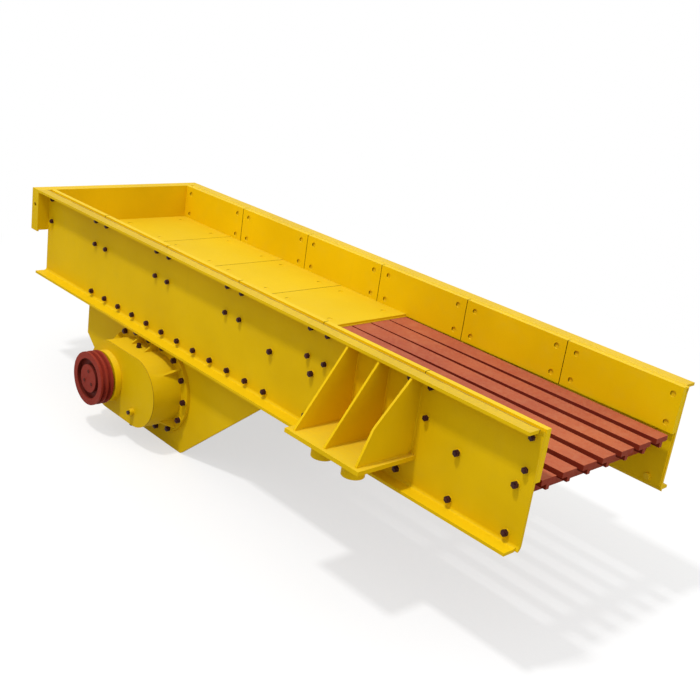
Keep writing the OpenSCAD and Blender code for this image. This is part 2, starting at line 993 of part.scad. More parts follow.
module timing_gear(x, phase) {
    dish = 8;
    difference() {
        on_side(gear_y0, gear_w) translate([x, shaft_z]) rotate(phase) gear_2d();
        for (y = [gear_y0 - eps, gear_y1 - dish]) {
            difference() {
                pin_y(x, shaft_z, y, dish + eps, root_r - 14);
                pin_y(x, shaft_z, y - eps, dish + 3 * eps, gear_shaft_r + 20);
            }
        }
    }
}

module drive_gear() {
    color(steel) home() timing_gear(drive_x, 0);
}

module driven_gear() {
    color(steel) home() timing_gear(driven_x, 180 / gear_teeth);
}

// Half section of the pulley: rim with two belt grooves, web and hub. First number is the
// radius, second the distance back from the front face.
module pulley_section_2d() {
    land = (pulley_w - 2 * groove_w) / 3;
    floor_w = groove_w - 11;
    hub_back = pulley_w - 2;
    bore = pulley_shaft_r + seat_gap;
    difference() {
        union() {
            translate([pulley_recess_r, 0])
            square([pulley_r - pulley_recess_r, pulley_w]);
            translate([bore, pulley_recess_d])
            square([pulley_recess_r + 4 - bore, pulley_web_t]);
            translate([bore, pulley_face - pulley_hub_face])
            square([pulley_hub_r - bore,
                hub_back - pulley_face + pulley_hub_face]);
        }
        for (k = [0, 1]) {
            y0 = land + k * (groove_w + land);
            polygon([[pulley_r + eps, y0 - eps * 0.3], [pulley_r + eps, y0 + groove_w + 0.3],
                [pulley_r - groove_d, y0 + (groove_w + floor_w) / 2],
                [pulley_r - groove_d, y0 + (groove_w - floor_w) / 2]]);
        }
    }
}

// Three round bars at the screw places of the hub.
module hub_pins(y, t, r) {
    for (a = [90, 210, 330]) {
        pin_y(drive_x + screw_circle * cos(a), shaft_z + screw_circle * sin(a), y, t, r);
    }
}

module pulley() {
    color(red) home() difference() {
        translate([drive_x, -pulley_face, shaft_z])
        rotate([-90, 0, 0])
        rotate_extrude() pulley_section_2d();
        hub_pins(pulley_hub_face - screw_depth, screw_depth + eps, screw_r);
    }
}

// A round keeper plate over the end of the drive shaft, screwed to the hub of the pulley.
module pulley_retainer() {
    color(red) home() difference() {
        pin_y(drive_x, shaft_z, pulley_hub_face, retainer_t, pulley_hub_r - 1);
        hub_pins(pulley_hub_face - eps, retainer_t + 2 * eps, screw_r + 0.5);
    }
}

module pulley_screws() {
    color(dark) home() {
        hub_pins(pulley_hub_face - screw_depth, screw_depth + retainer_t + eps, screw_r);
        hub_pins(pulley_hub_face + retainer_t, 4, screw_r + 4);
    }
}

// ---------- oil fittings ----------

module breather() {
    top = shaft_z + case_r;
    color(dark) home() translate([breather_x, -breather_y, 0]) union() {
        translate([0, 0, top - case_wall]) cylinder(h = case_wall + 6, r = 9.5);
        translate([0, 0, top]) cylinder(h = 10, r = 14, $fn = 6);
        translate([0, 0, top + 9]) cylinder(h = 14, r = 12);
    }
}

module oil_plugs() {
    drain_z = shaft_z - case_r;
    color(dark) home() {
        pin_y(boss_x, boss_z, case_face - 4, boss_h + 4 + eps, 7.5);
        hex_y(boss_x, boss_z, case_face + boss_h, 9, 21);
        translate([drain_x, -drain_y, drain_z - 1]) cylinder(h = case_wall + 1, r = 9.5);
        translate([drain_x, -drain_y, drain_z - 13]) cylinder(h = 13, r = 15, $fn = 6);
    }
}

// ---------- fasteners ----------

// A countersunk liner bolt with its nut and washer outside the web, on the pulley side.
module liner_bolt(x, z) {
    y0 = trough_w / 2 + liner_sink;
    nut_y = web_out + small_washer_t;
    translate([x, -y0, z])
    rotate([90, 0, 0])
    cylinder(h = sink_r - small_bolt_r, r1 = sink_r - 0.2, r2 = small_bolt_r - 0.2);
    pin_y(x, z, y0 + 1, nut_y + small_nut_h + 5 - y0 - 1, small_bolt_r);
    pin_y(x, z, web_out, small_washer_t, small_washer_r);
    hex_y(x, z, nut_y, small_nut_h, small_af);
}

module liner_bolts() {
    for (k = [0:panel_n - 1]) {
        for (x = [k * panel_pitch + liner_edge, (k + 1) * panel_pitch - liner_edge]) {
            for (z = [liner_bolt_low, liner_bolt_high]) {
                liner_bolt(x, z);
            }
        }
    }
}

module liner_bolts_right() {
    color(dark) home() liner_bolts();
}

module liner_bolts_left() {
    color(dark) home() mirror([0, 1, 0]) liner_bolts();
}

// A countersunk deck bolt with its nut under the pan.
module deck_bolt(x, y) {
    head_z = deck_z - deck_sink;
    cone = sink_r - small_bolt_r;
    nut_low = pan_low - small_washer_t - small_nut_h;
    translate([x, y, head_z - cone])
    cylinder(h = cone, r1 = small_bolt_r - 0.2, r2 = sink_r - 0.2);
    translate([x, y, nut_low - 5]) cylinder(h = head_z - 1 - nut_low + 5, r = small_bolt_r);
    translate([x, y, pan_low - small_washer_t])
    cylinder(h = small_washer_t, r = small_washer_r);
    translate([x, y, nut_low])
    cylinder(h = small_nut_h, r = small_af / sqrt(3), $fn = 6);
}

module deck_bolts() {
    color(dark) home()
    for (k = [0:deck_liner_n - 1]) {
        for (x = [k * deck_pitch + deck_edge, (k + 1) * deck_pitch - deck_edge]) {
            for (y = deck_bolt_rows) {
                deck_bolt(x, y);
            }
        }
    }
}

// A bolt through a side plate from inside: round head inside, washer and nut outside.
module web_bolt(x, z, y_in, y_out) {
    pin_y(x, z, y_in - web_head_t, web_head_t, web_head_r);
    pin_y(x, z, y_in - 1, y_out + small_washer_t + web_nut_h + 5 - y_in + 1, web_bolt_r);
    pin_y(x, z, y_out, small_washer_t, web_washer_r);
    hex_y(x, z, y_out + small_washer_t, web_nut_h, web_af);
}

// A bolt through the case flange, with its head on the flange of the housing inside.
module case_bolt(y_in, y_out) {
    pin_y(0, 0, y_in - big_head_t, big_head_t, big_head_r);
    pin_y(0, 0, y_in - 1, y_out + big_washer_t + big_nut_h + 6 - y_in + 1, big_bolt_r);
    pin_y(0, 0, y_out, big_washer_t, big_washer_r);
    hex_y(0, 0, y_out + big_washer_t, big_nut_h, big_af);
}

// The rows that hold the exciter plates to the side plates, on both sides.
module plate_bolts() {
    color(dark) home()
    for (s = [0, 1], k = [0:side_bolt_n - 1]) {
        mirror([0, s, 0])
        web_bolt(side_bolt_x + k * side_bolt_pitch, side_bolt_z, plate_in, web_out);
    }
}

// The rows that hold the lower liners beside the bars, on both sides.
module frame_bolts() {
    y_in = web_in - lower_liner_t;
    color(dark) home()
    for (s = [0, 1], p = frame_bolt_spots) {
        if (p[0] > frame_bolt_min && p[0] < trough_l - 30) {
            mirror([0, s, 0]) web_bolt(p[0], p[1], y_in, web_out);
        }
    }
}

// The bolts around the gear case flange and the end cover flange.
module case_bolts() {
    y_in = plate_in - plate_flange_t;
    y_out = plate_out + case_flange_t;
    color(dark) home()
    for (s = [0, 1]) {
        mirror([0, s, 0]) case_bolt_spots() case_bolt(y_in, y_out);
    }
}

side_plate_right();
side_plate_left();
rear_beam();
pan_plate();
pan_ribs();
deck_liner_1();
deck_liner_2();
deck_liner_3();
deck_liner_4();
side_liner_right_1();
side_liner_right_2();
side_liner_right_3();
side_liner_right_4();
side_liner_right_5();
side_liner_right_6();
side_liner_left_1();
side_liner_left_2();
side_liner_left_3();
side_liner_left_4();
side_liner_left_5();
side_liner_left_6();
lower_liner_right();
lower_liner_left();
grizzly_bar_1();
grizzly_bar_2();
grizzly_bar_3();
grizzly_bar_4();
grizzly_bar_5();
grizzly_bar_6();
grizzly_bar_7();
bar_beam_front();
bar_beam_middle();
bar_beam_rear();
spring_bracket_right();
spring_bracket_left();
rear_feet();
exciter_plate_right();
exciter_plate_left();
exciter_housing();
gear_case();
input_cap();
end_cover();
bearings();
drive_shaft();
driven_shaft();
drive_eccentrics();
driven_eccentrics();
drive_gear();
driven_gear();
pulley();
pulley_retainer();
pulley_screws();
breather();
oil_plugs();
liner_bolts_right();
liner_bolts_left();
deck_bolts();
plate_bolts();
frame_bolts();
case_bolts();
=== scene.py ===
import json
import math
import random

import bmesh
import bpy
from mathutils import Euler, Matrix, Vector


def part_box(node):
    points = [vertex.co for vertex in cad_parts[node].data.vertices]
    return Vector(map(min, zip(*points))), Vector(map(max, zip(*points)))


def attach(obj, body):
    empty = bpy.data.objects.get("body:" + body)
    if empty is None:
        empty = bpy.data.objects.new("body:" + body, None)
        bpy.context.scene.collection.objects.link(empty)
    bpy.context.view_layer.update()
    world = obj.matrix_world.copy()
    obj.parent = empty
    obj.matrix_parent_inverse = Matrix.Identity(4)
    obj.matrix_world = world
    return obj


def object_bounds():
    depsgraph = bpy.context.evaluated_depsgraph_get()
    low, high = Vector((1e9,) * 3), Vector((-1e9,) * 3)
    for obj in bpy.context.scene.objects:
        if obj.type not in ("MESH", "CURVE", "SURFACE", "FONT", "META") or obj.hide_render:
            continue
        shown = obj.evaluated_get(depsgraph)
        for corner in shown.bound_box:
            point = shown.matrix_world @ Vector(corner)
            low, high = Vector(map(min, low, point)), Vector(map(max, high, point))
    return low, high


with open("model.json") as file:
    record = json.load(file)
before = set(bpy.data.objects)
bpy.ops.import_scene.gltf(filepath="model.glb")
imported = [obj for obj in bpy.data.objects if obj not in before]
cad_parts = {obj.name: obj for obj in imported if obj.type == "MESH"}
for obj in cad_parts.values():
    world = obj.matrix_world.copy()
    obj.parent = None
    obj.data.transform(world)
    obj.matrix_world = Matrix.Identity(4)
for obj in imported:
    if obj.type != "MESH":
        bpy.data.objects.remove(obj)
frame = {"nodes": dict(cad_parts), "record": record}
CAD_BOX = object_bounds()
NODES = frame["nodes"]
RECORD = frame["record"]


# ---------------------------------------------------------------- places, in metres

TOP = CAD_BOX[1].z
LINER_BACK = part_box("side_liner_left_1")[1].y
LINER_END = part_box("side_liner_left_6")[1].x
DECK_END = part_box("deck_liner_4")[1].x
PAN_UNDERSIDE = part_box("pan_plate")[0].z

# The webs of the side plates start where the liners end, and the case flanges lie on the
# exciter plates, whose outer faces are in that same plane.
SIDE_PLATE_T = 0.014
CASE_FLANGE_T = 0.020
WEB_FACE = LINER_BACK + SIDE_PLATE_T
CASE_FLANGE_FACE = LINER_BACK + CASE_FLANGE_T
SMALL_WASHER_T = 0.003
BIG_WASHER_T = 0.004
# The brush has gone this far past the washers, on to the nuts.
BRUSHED_OVER = 0.0004
# The boss of the level plug stands this far out of the front of the gear case.
PLUG_BOSS = 0.022


# ---------------------------------------------------------------- colours, linear

# Each enamel has a deep, a middle and a pale tone.
ENAMEL = ((0.69, 0.435, 0.001), (0.74, 0.475, 0.0015), (0.78, 0.500, 0.002))
# A lighter copy of the yellow for the liners: painted light.
LINER_ENAMEL_PAINTED_LIGHT = ((0.76, 0.495, 0.001), (0.80, 0.528, 0.0015), (0.84, 0.558, 0.002))
# Darker copies of the yellow for the deck and the gear case: painted shade.
DECK_ENAMEL_PAINTED_SHADE = ((0.68, 0.443, 0.001), (0.71, 0.467, 0.0015), (0.74, 0.490, 0.002))
CASE_ENAMEL_PAINTED_SHADE = ((0.64, 0.405, 0.001), (0.69, 0.442, 0.0015), (0.73, 0.467, 0.002))
RED_ENAMEL = ((0.31, 0.040, 0.022), (0.37, 0.060, 0.024), (0.42, 0.080, 0.027))
PULLEY_ENAMEL = ((0.185, 0.016, 0.009), (0.225, 0.023, 0.013), (0.27, 0.031, 0.018))
SCREW_ENAMEL = ((0.07, 0.010, 0.008), (0.09, 0.014, 0.010), (0.12, 0.022, 0.015))

FRAME_DUST = (0.54, 0.42, 0.08)
LINER_DUST = (0.55, 0.42, 0.08)
DECK_DUST = (0.66, 0.49, 0.09)
CASE_DUST = (0.68, 0.48, 0.07)
LEFT_FLANGE_DUST = (0.42, 0.36, 0.17)
RIGHT_FLANGE_DUST = (0.22, 0.20, 0.09)
# Dust on the tops of the bars, partly a painted sheen.
BAR_DUST_AND_SHEEN = (0.66, 0.36, 0.20)
PULLEY_DUST = (0.34, 0.09, 0.06)
SCREW_DUST = (0.20, 0.08, 0.05)

# Painted light: an even, brighter yellow for the lower flanges of the side plates.
FLANGE_PAINTED_LIGHT = (0.77, 0.508, 0.004)
# Painted shade in the seam beside the liners' top edges.
SEAM_PAINTED_SHADE = (0.13, 0.055, 0.010)
# Painted shade in the joints between the liners.
JOINT_PAINTED_SHADE = (0.07, 0.030, 0.006)
# Painted shade on the ends and the flanks of the bars.
BAR_END_PAINTED_SHADE = (0.13, 0.012, 0.008)
BAR_FLANK_PAINTED_SHADE = (0.13, 0.008, 0.004)
# A thin brown line on the gear case, just behind its front.
CASE_EDGE_BROWN = (0.16, 0.070, 0.010)
# Painted shade in the ring recess of the pulley.
RECESS_PAINTED_SHADE = (0.045, 0.008, 0.006)

BOLT_TONES = ((0.024, 0.006, 0.007), (0.046, 0.010, 0.012), (0.085, 0.026, 0.024))
STEEL_TONES = ((0.30, 0.29, 0.28), (0.50, 0.50, 0.49))
IRON_TONES = ((0.07, 0.065, 0.06), (0.14, 0.13, 0.12))


# ---------------------------------------------------------------- node helpers

def new_material(name):
    """An empty node material with a principled surface: the material, its tree, the surface."""
    mat = bpy.data.materials.new(name)
    mat.use_nodes = True
    tree = mat.node_tree
    tree.nodes.clear()
    out = tree.nodes.new("ShaderNodeOutputMaterial")
    surf = tree.nodes.new("ShaderNodeBsdfPrincipled")
    tree.links.new(surf.outputs["BSDF"], out.inputs["Surface"])
    return mat, tree, surf


def place_coords(tree):
    """Object coordinates: every piece keeps its origin at the row's, so these are metres."""
    return tree.nodes.new("ShaderNodeTexCoord").outputs["Object"]


def set_socket(tree, socket, value):
    """Links an output to a socket, or writes a number or a colour into it."""
    if isinstance(value, tuple):
        socket.default_value = (*value, 1.0)
    elif isinstance(value, (int, float)):
        socket.default_value = value
    else:
        tree.links.new(value, socket)


def noise_node(tree, vector, scale, detail, rough, stretch=None):
    if stretch is not None:
        mapping = tree.nodes.new("ShaderNodeMapping")
        mapping.inputs["Scale"].default_value = stretch
        tree.links.new(vector, mapping.inputs["Vector"])
        vector = mapping.outputs["Vector"]
    grain = tree.nodes.new("ShaderNodeTexNoise")
    grain.inputs["Scale"].default_value = scale
    grain.inputs["Detail"].default_value = detail
    grain.inputs["Roughness"].default_value = rough
    tree.links.new(vector, grain.inputs["Vector"])
    return grain.outputs["Fac"]


def ramp(tree, fac, stops):
    """A colour for fac, from stops that each hold a position and a colour."""
    node = tree.nodes.new("ShaderNodeValToRGB")
    while len(node.color_ramp.elements) < len(stops):
        node.color_ramp.elements.new(0.5)
    for element, (position, colour) in zip(node.color_ramp.elements, stops):
        element.position = position
        element.color = (*colour, 1.0)
    tree.links.new(fac, node.inputs["Fac"])
    return node.outputs["Color"]


def grey_ramp(tree, fac, low, high, at_low=0.0, at_high=1.0):
    """A map from fac between low and high to grey between at_low and at_high."""
    node = tree.nodes.new("ShaderNodeMapRange")
    node.inputs["From Min"].default_value = low
    node.inputs["From Max"].default_value = high
    node.inputs["To Min"].default_value = at_low
    node.inputs["To Max"].default_value = at_high
    tree.links.new(fac, node.inputs["Value"])
    return node.outputs["Result"]


def mix_colour(tree, fac, first, second):
    node = tree.nodes.new("ShaderNodeMix")
    node.data_type = "RGBA"
    # Sockets 6 and 7 and output 2 are the ones that carry colours.
    for index, value in ((0, fac), (6, first), (7, second)):
        set_socket(tree, node.inputs[index], value)
    return node.outputs[2]


def maths(tree, operation, first, second=None):
    node = tree.nodes.new("ShaderNodeMath")
    node.operation = operation
    set_socket(tree, node.inputs[0], first)
    if second is not None:
        set_socket(tree, node.inputs[1], second)
    return node.outputs[0]


def times(tree, first, second):
    return maths(tree, "MULTIPLY", first, second)


def between(tree, value, low, high):
    """1 where value lies between low and high, 0 elsewhere."""
    return times(tree, maths(tree, "GREATER_THAN", value, low),
                 maths(tree, "LESS_THAN", value, high))


def bump(tree, surf, height, strength, distance):
    node = tree.nodes.new("ShaderNodeBump")
    node.inputs["Strength"].default_value = strength
    node.inputs["Distance"].default_value = distance
    tree.links.new(height, node.inputs["Height"])
    tree.links.new(node.outputs["Normal"], surf.inputs["Normal"])


def axis_of(tree, vector, axis):
    """One coordinate of a vector output."""
    split = tree.nodes.new("ShaderNodeSeparateXYZ")
    tree.links.new(vector, split.inputs[0])
    return split.outputs[axis]


def surface_normal(tree):
    return tree.nodes.new("ShaderNodeNewGeometry").outputs["Normal"]


def facing_up(tree):
    """1 on surfaces that look up, 0 on upright and hanging ones."""
    return grey_ramp(tree, axis_of(tree, surface_normal(tree), "Z"), 0.55, 0.92)


def turned_to(tree, axis):
    """1 on surfaces that look along an axis, either way, 0 on the others."""
    along = maths(tree, "ABSOLUTE", axis_of(tree, surface_normal(tree), axis))
    return grey_ramp(tree, along, 0.60, 0.85)


# ---------------------------------------------------------------- dirt in certain places

def lay(tree, base, colour, where, share):
    """A layer of colour over base where the mask is 1, covering it by share."""
    return mix_colour(tree, times(tree, where, share), base, colour)


def plate_marks(start, least, most):
    """Marks for a side plate: painted light, an even brighter yellow on the lower flange, and
    painted shade in the seam beside the liners' top edges, start to least or most metres off
    them."""
    def marks(tree, pos, base):
        top_bend = 0.03
        high = maths(tree, "GREATER_THAN", axis_of(tree, pos, "Z"), TOP - top_bend)
        low_flange = times(tree, facing_up(tree), maths(tree, "SUBTRACT", 1.0, high))
        # Painted light: the lower flange turns an even, brighter yellow.
        base = mix_colour(tree, low_flange, base, FLANGE_PAINTED_LIGHT)
        wander = noise_node(tree, pos, scale=11.0, detail=4.0, rough=0.6)
        reach = grey_ramp(tree, wander, 0.35, 0.65, LINER_BACK + least, LINER_BACK + most)
        away = maths(tree, "ABSOLUTE", axis_of(tree, pos, "Y"))
        seam = between(tree, away, LINER_BACK + start, reach)
        # Painted shade in the seam beside the liners' top edges, near the top of the plate.
        return lay(tree, base, SEAM_PAINTED_SHADE, times(tree, seam, high), share=0.55)
    return marks


def joint_marks(last):
    """Marks for liners: painted shade in their joints, so on all end faces behind last."""
    def marks(tree, pos, base):
        inside = maths(tree, "LESS_THAN", axis_of(tree, pos, "X"), last)
        # Painted shade on the end faces of the liners, in their joints.
        shaded_ends = times(tree, turned_to(tree, "X"), inside)
        return lay(tree, base, JOINT_PAINTED_SHADE, shaded_ends, share=0.85)
    return marks


def bar_marks(tree, pos, base):
    """Painted shade on the bars: dark on their flanks, lighter on their ends."""
    # Painted shade, chosen by which way each face of a bar looks.
    base = lay(tree, base, BAR_END_PAINTED_SHADE, turned_to(tree, "X"), share=0.50)
    return lay(tree, base, BAR_FLANK_PAINTED_SHADE, turned_to(tree, "Y"), share=0.80)


def case_marks(tree, pos, base):
    """A thin brown line where the front plate of the case meets its wall."""
    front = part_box("gear_case")[0].y + PLUG_BOSS
    behind = maths(tree, "SUBTRACT", axis_of(tree, pos, "Y"), front)
    line_from, line_to = 0.0004, 0.0050
    line = between(tree, behind, line_from, line_to)
    return lay(tree, base, CASE_EDGE_BROWN, line, share=0.55)


def pulley_marks(tree, pos, base):
    """Painted shade in the ring recess of the pulley, between its rim and its keeper plate."""
    low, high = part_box("pulley")
    centre = (low + high) / 2
    keeper_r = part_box("pulley_retainer")[1].x - centre.x
    recess_w = 0.0345
    margin = 0.002
    rim_depth = 0.004
    x = maths(tree, "SUBTRACT", axis_of(tree, pos, "X"), centre.x)
    z = maths(tree, "SUBTRACT", axis_of(tree, pos, "Z"), centre.z)
    off_axis = maths(tree, "SQRT", maths(tree, "ADD", times(tree, x, x), times(tree, z, z)))
    ring = between(tree, off_axis, keeper_r - margin, keeper_r + recess_w)
    sunk = maths(tree, "GREATER_THAN", axis_of(tree, pos, "Y"), low.y + rim_depth)
    # Painted shade in the recess.
    return lay(tree, base, RECESS_PAINTED_SHADE, times(tree, ring, sunk), share=0.60)


# ---------------------------------------------------------------- materials

def paint(name, tones, dust_and_sheen, on_top, speckle=0.10, rough=0.52, marks=None):
    """Machine enamel: slow colour drift, faint runs, settled dust on top (on the bars partly
    a painted sheen), fine orange peel. marks adds colour, painted light and shade in some
    places."""
    deep, mid, pale = tones
    mat, tree, surf = new_material(name)
    pos = place_coords(tree)
    drift = noise_node(tree, pos, scale=1.9, detail=3.0, rough=0.5)
    base = ramp(tree, drift, [(0.34, deep), (0.50, mid), (0.66, pale)])
    streak = noise_node(tree, pos, scale=7.0, detail=5.0, rough=0.6, stretch=(5.0, 5.0, 0.7))
    base = mix_colour(tree, grey_ramp(tree, streak, 0.56, 0.80, 0.0, 0.35), base, deep)
    spots = noise_node(tree, pos, scale=13.0, detail=6.0, rough=0.65)
    base = mix_colour(tree, grey_ramp(tree, spots, 0.50, 0.80, 0.0, speckle), base, dust_and_sheen)
    grit = noise_node(tree, pos, scale=55.0, detail=5.0, rough=0.7)
    film = times(tree, facing_up(tree),
                 grey_ramp(tree, grit, 0.30, 0.70, on_top * 0.5, on_top * 1.5))
    base = mix_colour(tree, film, base, dust_and_sheen)
    if marks is not None:
        base = marks(tree, pos, base)
    tree.links.new(base, surf.inputs["Base Color"])
    tree.links.new(grey_ramp(tree, grit, 0.3, 0.7, rough - 0.06, rough + 0.10),
                   surf.inputs["Roughness"])
    peel = noise_node(tree, pos, scale=260.0, detail=2.0, rough=0.5)
    wave = noise_node(tree, pos, scale=4.0, detail=2.0, rough=0.4)
    bump(tree, surf, maths(tree, "ADD", times(tree, peel, 0.10), wave), 0.16, 0.004)
    surf.inputs["Specular IOR Level"].default_value = 0.05
    return mat


def bolt_steel(name, painted=None):
    """Black oiled steel with a plum-brown film. painted holds an axis, a distance from the
    middle and a side of it: there the brush has gone over the bolts with the plates."""
    mat, tree, surf = new_material(name)
    pos = place_coords(tree)
    film = noise_node(tree, pos, scale=60.0, detail=4.0, rough=0.6)
    colour = ramp(tree, film, list(zip((0.30, 0.55, 0.78), BOLT_TONES)))
    rough = grey_ramp(tree, film, 0.3, 0.7, 0.36, 0.54)
    metal = 0.10
    if painted is not None:
        axis, limit, side = painted
        away = maths(tree, "ABSOLUTE", axis_of(tree, pos, axis))
        brushed = maths(tree, side, away, limit)
        colour = mix_colour(tree, brushed, colour, ENAMEL[1])
        rough = maths(tree, "MAXIMUM", rough, times(tree, brushed, 0.52))
        metal = maths(tree, "SUBTRACT", metal, times(tree, brushed, metal))
    set_socket(tree, surf.inputs["Metallic"], metal)
    tree.links.new(colour, surf.inputs["Base Color"])
    tree.links.new(rough, surf.inputs["Roughness"])
    surf.inputs["Specular IOR Level"].default_value = 0.20
    bump(tree, surf, noise_node(tree, pos, scale=400.0, detail=3.0, rough=0.6), 0.2, 0.001)
    return mat


def bare_steel(name, tones, rough):
    """Turned steel or cast iron: fine tone changes, with an oil film."""
    mat, tree, surf = new_material(name)
    pos = place_coords(tree)
    drift = noise_node(tree, pos, scale=22.0, detail=5.0, rough=0.6)
    colour = ramp(tree, drift, list(zip((0.3, 0.7), tones)))
    tree.links.new(colour, surf.inputs["Base Color"])
    fine = noise_node(tree, pos, scale=300.0, detail=2.0, rough=0.5)
    tree.links.new(grey_ramp(tree, fine, 0.3, 0.7, rough, rough + 0.14),
                   surf.inputs["Roughness"])
    surf.inputs["Metallic"].default_value = 1.0
    bump(tree, surf, fine, 0.12, 0.0006)
    return mat


# The painted shade in the joints leaves out the last end face of a row of liners, which is in
# the open.
LAST_FACE = 0.03

YELLOW = paint("yellow_enamel", ENAMEL, FRAME_DUST, on_top=0.22, speckle=0.05)
# The liners take the lighter copy of the yellow, painted light; the deck and the gear case take
# the darker copies, painted shade.
YELLOW_LINER = paint("yellow_liners", LINER_ENAMEL_PAINTED_LIGHT, LINER_DUST, on_top=0.25,
                     marks=joint_marks(LINER_END - LAST_FACE))
YELLOW_DECK = paint("yellow_deck", DECK_ENAMEL_PAINTED_SHADE, DECK_DUST, on_top=0.12,
                    marks=joint_marks(DECK_END - LAST_FACE))
YELLOW_CASE = paint("yellow_gear_case", CASE_ENAMEL_PAINTED_SHADE, CASE_DUST, on_top=0.10,
                    marks=case_marks)
YELLOW_LEFT = paint("yellow_side_plate", ENAMEL, LEFT_FLANGE_DUST, on_top=0.18,
                    marks=plate_marks(-0.001, 0.006, 0.012))
YELLOW_RIGHT = paint("yellow_dusty_side_plate", ENAMEL, RIGHT_FLANGE_DUST, on_top=0.27,
                     speckle=0.04, rough=0.54, marks=plate_marks(0.022, 0.027, 0.034))
# On the bars the top layer is partly dust and partly a painted sheen.
RED = paint("red_enamel", RED_ENAMEL, BAR_DUST_AND_SHEEN, on_top=0.15, speckle=0.13, marks=bar_marks)
PULLEY_RED = paint("red_cast_enamel", PULLEY_ENAMEL, PULLEY_DUST, on_top=0.10, speckle=0.18,
                   rough=0.46, marks=pulley_marks)
PAINTED_SCREWS = paint("dark_red_screws", SCREW_ENAMEL, SCREW_DUST, on_top=0.05, rough=0.46)

STEEL = bare_steel("turned_steel", STEEL_TONES, 0.26)
IRON = bare_steel("cast_iron", IRON_TONES, 0.55)
BOLTS = bolt_steel("black_bolts")
WEB_BOLTS = bolt_steel("black_bolts_painted_washers",
                       ("Y", WEB_FACE + SMALL_WASHER_T + BRUSHED_OVER, "LESS_THAN"))
CASE_BOLTS = bolt_steel("black_bolts_case",
                        ("Y", CASE_FLANGE_FACE + BIG_WASHER_T + BRUSHED_OVER, "LESS_THAN"))
# The heads of the deck bolts lie above the pan and are painted with the deck.
DECK_BOLTS = bolt_steel("black_bolts_deck", ("Z", PAN_UNDERSIDE + 0.001, "GREATER_THAN"))

SLOT_LOOK = {"yellow_paint": YELLOW, "red_paint": RED, "red_pulley_paint": PULLEY_RED,
             "dark_fasteners": BOLTS, "machined_steel": STEEL, "bare_cast_iron": IRON}
NODE_LOOK = {"side_plate_right": YELLOW_RIGHT, "side_plate_left": YELLOW_LEFT,
             "liner_bolts_right": WEB_BOLTS, "liner_bolts_left": WEB_BOLTS,
             "plate_bolts": WEB_BOLTS, "frame_bolts": WEB_BOLTS, "case_bolts": CASE_BOLTS,
             "deck_bolts": DECK_BOLTS, "pulley_screws": PAINTED_SCREWS,
             "gear_case": YELLOW_CASE}


def look_of(name, slot):
    """The liners go by their names, some nodes have their own look, the rest their slot's."""
    if name.startswith("side_liner"):
        return YELLOW_LINER
    if name.startswith("deck_liner"):
        return YELLOW_DECK
    return NODE_LOOK.get(name, SLOT_LOOK[slot])


for part in RECORD["subparts"]:
    slots = NODES[part["node"]].data.materials
    slots.clear()
    slots.append(look_of(part["node"], part["material_slot"]))


# ---------------------------------------------------------------- soft edges

BOLT_EDGE = 0.0009
CAST_EDGE = 0.0022
PLATE_EDGE = 0.0018
LEFT_SHARP = {"drive_gear", "driven_gear", "bearings"}
SMALL_FITTINGS = {"oil_plugs", "breather", "pulley_screws"}
CASTINGS = {"pulley", "pulley_retainer", "input_cap", "gear_case", "end_cover",
            "exciter_housing"}


def soften(ob, width):
    """Rounds the hard edges of a CAD node a little, as rolled and painted plate has them."""
    weld = ob.modifiers.new("weld", "WELD")
    weld.merge_threshold = 0.00002
    flat = ob.modifiers.new("flat", "DECIMATE")
    flat.decimate_type = "DISSOLVE"
    flat.angle_limit = math.radians(0.4)
    bevel = ob.modifiers.new("edges", "BEVEL")
    bevel.width = width
    bevel.segments = 2
    bevel.limit_method = "ANGLE"
    bevel.angle_limit = math.radians(38)
    bevel.harden_normals = False
    for face in ob.data.polygons:
        face.use_smooth = True
    shade = ob.modifiers.new("shade", "WEIGHTED_NORMAL")
    shade.weight = 100
    shade.thresh = 0.001
    shade.keep_sharp = False


for name, ob in NODES.items():
    if name in LEFT_SHARP:
        continue
    if "bolts" in name or name in SMALL_FITTINGS:
        soften(ob, BOLT_EDGE)
    elif name in CASTINGS:
        soften(ob, CAST_EDGE)
    else:
        soften(ob, PLATE_EDGE)


# ---------------------------------------------------------------- weld beads

BEAD_R = 0.0042
BASE_BEAD_R = 0.0040
BEAD_SIDES = 8
RING_STEP = 0.004
RIPPLE_STEP = 0.011
# Shares of a bead's radius: its mean, its ripple, its unevenness and what is left at an end.
MEAN, RIPPLE, UNEVEN, END = 0.92, 0.10, 0.05, 0.35
# How fast a bead grows to its full radius, along a share of its length.
SWELL = 6.0


def weld_bead(name, start, end, radius, rng):
    """A rippled fillet weld along a corner: a thin rope of rings, half sunk in both plates."""
    start, end = Vector(start), Vector(end)
    run = end - start
    ahead = run.normalized()
    side = ahead.orthogonal().normalized()
    up = ahead.cross(side)
    count = max(4, int(run.length / RING_STEP))
    phase = rng.uniform(0.0, math.tau)
    bm = bmesh.new()
    rings = []
    for i in range(count + 1):
        t = i / count
        ripple = RIPPLE * math.sin(t * run.length / RIPPLE_STEP * math.tau + phase)
        taper = min(1.0, SWELL * t + END, SWELL * (1.0 - t) + END)
        r = radius * taper * (MEAN + ripple + rng.uniform(-UNEVEN, UNEVEN))
        centre = start + run * t
        ring = []
        for k in range(BEAD_SIDES):
            angle = k * math.tau / BEAD_SIDES
            ring.append(bm.verts.new(centre + r * (math.cos(angle) * side
                                                   + math.sin(angle) * up)))
        rings.append(ring)
    for one, two in zip(rings, rings[1:]):
        for k in range(BEAD_SIDES):
            n = (k + 1) % BEAD_SIDES
            bm.faces.new((one[k], one[n], two[n], two[k]))
    bm.faces.new(rings[0][::-1])
    bm.faces.new(rings[-1])
    bmesh.ops.recalc_face_normals(bm, faces=bm.faces[:])
    for face in bm.faces:
        face.smooth = True
    mesh = bpy.data.meshes.new(name)
    bm.to_mesh(mesh)
    bm.free()
    mesh.materials.append(YELLOW)
    ob = bpy.data.objects.new(name, mesh)
    bpy.context.scene.collection.objects.link(ob)
    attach(ob, "trough")


